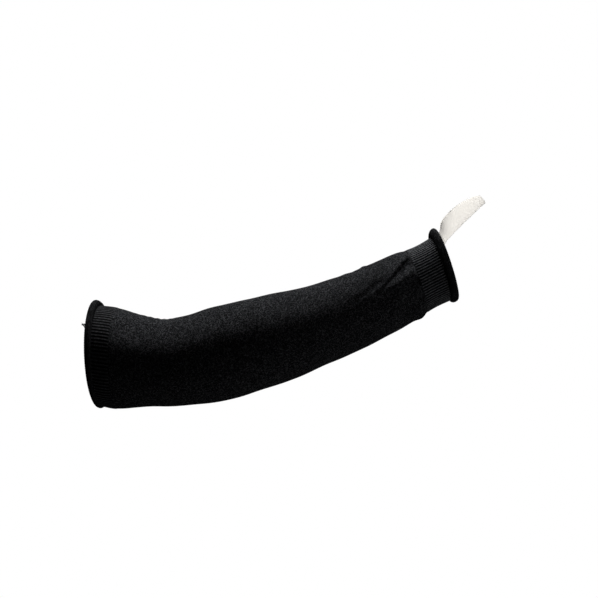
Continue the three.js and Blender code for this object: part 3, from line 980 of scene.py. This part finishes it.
def through_stations(points, at):
    """A smooth line through points, with steps that follow their distance apart."""
    spans = len(points) - 1
    ends = np.vstack([2 * points[0] - points[1], points, 2 * points[-1] - points[-2]])
    i = np.minimum(np.floor(at * spans).astype(int), spans - 1)
    w = (at * spans - i)[:, None]
    p0, p1, p2, p3 = ends[i], ends[i + 1], ends[i + 2], ends[i + 3]
    d0 = np.linalg.norm(p1 - p0, axis=1)[:, None] ** 0.5
    d1 = np.linalg.norm(p2 - p1, axis=1)[:, None] ** 0.5
    d2 = np.linalg.norm(p3 - p2, axis=1)[:, None] ** 0.5
    t1 = ((p1 - p0) / d0 - (p2 - p0) / (d0 + d1) + (p2 - p1) / d1) * d1
    t2 = ((p2 - p1) / d1 - (p3 - p1) / (d1 + d2) + (p3 - p2) / d2) * d1
    c2 = -3 * p1 + 3 * p2 - 2 * t1 - t2
    c3 = 2 * p1 - 2 * p2 + t1 + t2
    return p1 + t1 * w + c2 * w * w + c3 * w * w * w


def strap_frame(at):
    """The strap's middle, way across, way out, half width and cup, at shares of its length."""
    (places, across_ways, widths, cups), cuff_cup = loop_stations()
    middle = through_stations(places, at)
    ahead = through_stations(places, np.clip(at + SHORT_STEP, 0, 1))
    behind = through_stations(places, np.clip(at - SHORT_STEP, 0, 1))
    travel = unit(ahead - behind)
    index = np.arange(len(places))
    spans = len(places) - 1
    upward = np.stack([curve_through(index, across_ways[:, k], at * spans) for k in range(3)], -1)
    upward = unit(upward - travel * (upward * travel).sum(1)[:, None])
    outward = np.cross(travel, upward)
    half = curve_through(index, widths, at * spans) * STRAP_WIDTH / 2
    cup = curve_through(index, cups, at * spans) * cuff_cup
    return middle, upward, outward, half, cup


def strap_face(at, across, side, lift=0.0):
    """Points on a face of the strap. side is 1 for its outer face and -1 for the other."""
    middle, upward, outward, half, cup = strap_frame(at)
    half, cup = half[:, None], cup[:, None]
    normal = unit(outward[:, None] + upward[:, None] * (2 * across * cup / half)[..., None])
    profile = np.sqrt(np.clip(1 - np.abs(across) ** EDGE_SQUARENESS, 0, 1))
    thickness = (STRAP_THICKNESS / 2) * profile + lift
    place = middle[:, None] + upward[:, None] * (across * half)[..., None]
    place = place - outward[:, None] * (across * across * cup)[..., None]
    return place + normal * (side * thickness)[..., None]


class SLEEVE_OT_thumb_loop(bpy.types.Operator):
    """Make the elastic strap of the thumb loop and the stitches that hold its ends"""

    bl_idname = "sleeve.thumb_loop"
    bl_label = "Thumb Loop"

    def execute(self, context):
        settings = context.scene.sleeve_loop
        at = np.linspace(0, 1, STRAP_ROWS + 1)
        middle = strap_frame(at)[0]
        length = np.concatenate([[0], np.cumsum(np.linalg.norm(np.diff(middle, axis=0), axis=1))])
        scallop = settings.scallop / (STRAP_WIDTH / 2) * np.sin(length / SCALLOP_STEP * TURN)[:, None]
        columns = np.linspace(-1, 1, STRAP_COLUMNS + 1)
        across = np.sin(columns * math.pi / 2 * EDGE_REACH)[None, :]
        across = across * (1 + scallop)
        outer = strap_face(at, -across, 1.0)
        inner = strap_face(at, across, -1.0)
        loop = np.concatenate([outer, inner], axis=1)
        half_turn = (columns * 0.5 + 0.5) * STRAP_WIDTH / settings.cord
        turns = np.concatenate([-half_turn, half_turn, [0]])
        stitch = (1, 1 / settings.thread)
        strap = closed_skin("thumb_loop_elastic", loop, turns, length, stitch, capped=True)
        strap.data.materials.append(ivory_finish("ivory_elastic"))
        belongs(strap, "white_elastic", "thumb_loop")

        spots = np.linspace(-TACK_REACH, TACK_REACH, TACK_POINTS)[None, :]
        lines = [strap_face(np.array([place]), spots, -1.0, TACK_LIFT)[0] for place in TACK_PLACES]
        points = np.vstack(lines)
        edges = [(i, i + 1) for i in range(len(points) - 1) if (i + 1) % TACK_POINTS]
        mesh = bpy.data.meshes.new("thumb_loop_stitches")
        mesh.from_pydata(points.tolist(), edges, [])
        tacks = bpy.data.objects.new("thumb_loop_stitches", mesh)
        context.scene.collection.objects.link(tacks)
        values = {
            "Spacing": TACK_SPACING,
            "Stitch length": TACK_LENGTH,
            "Thread radius": TACK_RADIUS,
            "Material": thread_finish("white_thread", (0.7, 0.68, 0.64), (0.85, 0.83, 0.8)),
        }
        grown(tacks, tacking_tree(), values)
        belongs(tacks, "white_elastic")
        return {"FINISHED"}


def strand(line, radii, sides):
    """Rings of points round a line, with a radius at each."""
    travel = unit(np.gradient(line, axis=0))
    aside = unit(np.cross(travel, [0, 1.0, 0]))
    back = np.cross(travel, aside)
    turn = TURN * np.arange(sides) / sides
    ring = aside[:, None] * np.cos(turn)[None, :, None] + back[:, None] * np.sin(turn)[None, :, None]
    return line[:, None] + ring * radii[:, None, None]


class SLEEVE_OT_yarn_tail(bpy.types.Operator):
    """Make the cut end of yarn at the arm hem"""

    bl_idname = "sleeve.yarn_tail"
    bl_label = "Yarn Tail"

    def execute(self, context):
        half_roll = (ARM_ROLL_THICKNESS / 2) * (1 + ROLL_FULLNESS * math.cos(TAIL_AROUND))
        root = on_sleeve(0.0, TAIL_AROUND, half_roll - RIB_WALL)[0]
        back = unit(MIDDLE[0] - MIDDLE[1])
        depth = np.array([0, 1.0, 0])
        side = np.cross(back, depth)
        tip = np.array([-math.cos(TAIL_RISE), 0, math.sin(TAIL_RISE)])
        root = root - back * TAIL_SUNK
        t = np.linspace(0, 1, TAIL_STEPS)[:, None]
        outward = back * (TAIL_LENGTH / 2) * t * (2 - t)
        middle = root + outward + tip * (TAIL_LENGTH / 2 + TAIL_LIFT) * t ** 2
        spread = TAIL_SPREAD + TAIL_FRAY * np.clip(t - TAIL_FRAY_FROM, 0, 1) ** 1.5
        turns = np.arange(PLY_SIDES + 1) / PLY_SIDES
        made = []
        for k in range(TAIL_PLIES):
            twist = TURN * k / TAIL_PLIES + PLY_TWIST * t
            line = middle + spread * (np.cos(twist) * side + np.sin(twist) * depth)
            line = line + TAIL_FAN * (k - TAIL_PLIES // 2) * (1 - t) * side
            line = line[: TAIL_STEPS - (k * 2) % TAIL_PLIES]
            radii = PLY_RADIUS * np.linspace(*PLY_TAPER, len(line))
            radii[[0, -1]] = PLY_END
            rows = strand(line, radii, PLY_SIDES)
            lengths = PLY_STEP * np.arange(len(rows))
            made.append(closed_skin(f"tail_{k}", rows, turns, lengths, capped=True))
        with context.temp_override(active_object=made[0], selected_editable_objects=made):
            bpy.ops.object.join()
        tail = made[0]
        tail.name = "yarn_tail_plies"
        finish = thread_finish("black_yarn", (0.014, 0.007, 0.005), (0.09, 0.045, 0.03))
        tail.data.materials.append(finish)
        belongs(tail, "black_rib_knit", "yarn_tail")
        return {"FINISHED"}


def add_light(data, place):
    """Puts a light into the scene, out of the camera's sight."""
    lamp = bpy.data.objects.new(data.name, data)
    lamp.location = place
    lamp.visible_camera = False
    bpy.context.scene.collection.objects.link(lamp)
    return lamp


class SLEEVE_OT_stage(bpy.types.Operator):
    """Make the pale seamless studio, its soft lights and the camera"""

    bl_idname = "sleeve.stage"
    bl_label = "Stage"

    def execute(self, context):
        scene = context.scene
        settings = scene.sleeve_stage
        scene.view_settings.view_transform = "Standard"
        scene.view_settings.look = "None"

        turn = TURN * np.arange(STUDIO_SIDES) / STUDIO_SIDES
        radius, height = np.array(STUDIO_PROFILE).T[:, :, None]
        sides = np.broadcast_arrays(radius * np.cos(turn), radius * np.sin(turn), height)
        rows = np.stack(sides, axis=-1)
        turns = np.arange(STUDIO_SIDES + 1) / STUDIO_SIDES
        studio = closed_skin("studio", rows[::-1], turns, np.arange(len(rows)), capped=True)
        pale = bpy.data.materials.new("pale_studio")
        pale.use_nodes = True
        shader = pale.node_tree.nodes["Principled BSDF"]
        shader.inputs["Base Color"].default_value = (0, 0, 0, 1)
        shader.inputs["Specular IOR Level"].default_value = 0
        shader.inputs["Emission Color"].default_value = (1, 1, 1, 1)
        shader.inputs["Emission Strength"].default_value = 1.0
        studio.data.materials.append(pale)
        studio.visible_diffuse = False
        studio.visible_glossy = False
        studio.visible_transmission = False
        studio.visible_shadow = False

        world = bpy.data.worlds.new("even_light")
        world.use_nodes = True
        background = world.node_tree.nodes["Background"]
        background.inputs["Color"].default_value = (1, 1, 1, 1)
        background.inputs["Strength"].default_value = settings.ambient
        scene.world = world

        low, high = SOLID_BOX
        centre = (low + high) / 2
        loop_only = bpy.data.collections.new("lit_by_the_loop_light")
        for name in ("thumb_loop_elastic", "thumb_loop_stitches"):
            loop_only.objects.link(bpy.data.objects[name])
        for name, (place, width, depth) in LAMPS.items():
            data = bpy.data.lights.new(name, "AREA")
            data.shape = "RECTANGLE"
            data.size = width
            data.size_y = depth
            data.energy = getattr(settings, name)
            lamp = add_light(data, centre + Vector(place))
            lamp.rotation_euler = (-Vector(place)).to_track_quat("-Z", "Y").to_euler()
            if name == "loop_light":
                lamp.light_linking.receiver_collection = loop_only
        for k, share in enumerate(INNER_LIGHTS):
            data = bpy.data.lights.new(f"inner_light_{k}", "POINT")
            data.shadow_soft_size = INNER_LIGHT_RADIUS
            data.energy = settings.inner_light
            add_light(data, sections_at(np.array(share * SLEEVE_LENGTH))[0])

        view = bpy.data.cameras.new("camera")
        view.sensor_width = CAMERA_SENSOR
        view.lens = CAMERA_LENS
        view.clip_start, view.clip_end = CAMERA_RANGE
        camera = bpy.data.objects.new("camera", view)
        camera.location = CAMERA_PLACE
        camera.rotation_euler = (math.pi / 2, 0, 0)
        scene.collection.objects.link(camera)
        scene.camera = camera
        return {"FINISHED"}


class SLEEVE_PT_panel(bpy.types.Panel):
    """Lists what makes the sleeve"""

    bl_idname = "SLEEVE_PT_panel"
    bl_label = "Cut Resistant Sleeve"
    bl_space_type = "VIEW_3D"
    bl_region_type = "UI"
    bl_category = "Sleeve"

    def draw(self, context):
        scene = context.scene
        for settings, operators in (
            (scene.sleeve_knit, (SLEEVE_OT_knit_body,)),
            (scene.sleeve_ribs, (SLEEVE_OT_ribbing, SLEEVE_OT_rolled_hems, SLEEVE_OT_yarn_tail)),
            (scene.sleeve_loop, (SLEEVE_OT_thumb_loop,)),
            (scene.sleeve_stage, (SLEEVE_OT_stage,)),
        ):
            box = self.layout.box()
            for name in settings.__annotations__:
                box.prop(settings, name)
            for operator in operators:
                box.operator(operator.bl_idname)


CLASSES = (
    KnitSettings,
    RibSettings,
    LoopSettings,
    StageSettings,
    SLEEVE_OT_knit_body,
    SLEEVE_OT_ribbing,
    SLEEVE_OT_rolled_hems,
    SLEEVE_OT_thumb_loop,
    SLEEVE_OT_yarn_tail,
    SLEEVE_OT_stage,
    SLEEVE_PT_panel,
)


def register():
    for kind in CLASSES:
        bpy.utils.register_class(kind)
    bpy.types.Scene.sleeve_knit = PointerProperty(type=KnitSettings)
    bpy.types.Scene.sleeve_ribs = PointerProperty(type=RibSettings)
    bpy.types.Scene.sleeve_loop = PointerProperty(type=LoopSettings)
    bpy.types.Scene.sleeve_stage = PointerProperty(type=StageSettings)


def unregister():
    for name in ("sleeve_knit", "sleeve_ribs", "sleeve_loop", "sleeve_stage"):
        delattr(bpy.types.Scene, name)
    for kind in reversed(CLASSES):
        bpy.utils.unregister_class(kind)


def main():
    register()
    bpy.ops.sleeve.knit_body()
    bpy.ops.sleeve.ribbing()
    bpy.ops.sleeve.rolled_hems()
    bpy.ops.sleeve.thumb_loop()
    bpy.ops.sleeve.yarn_tail()
    bpy.ops.sleeve.stage()


if __name__ == "__main__":
    main()
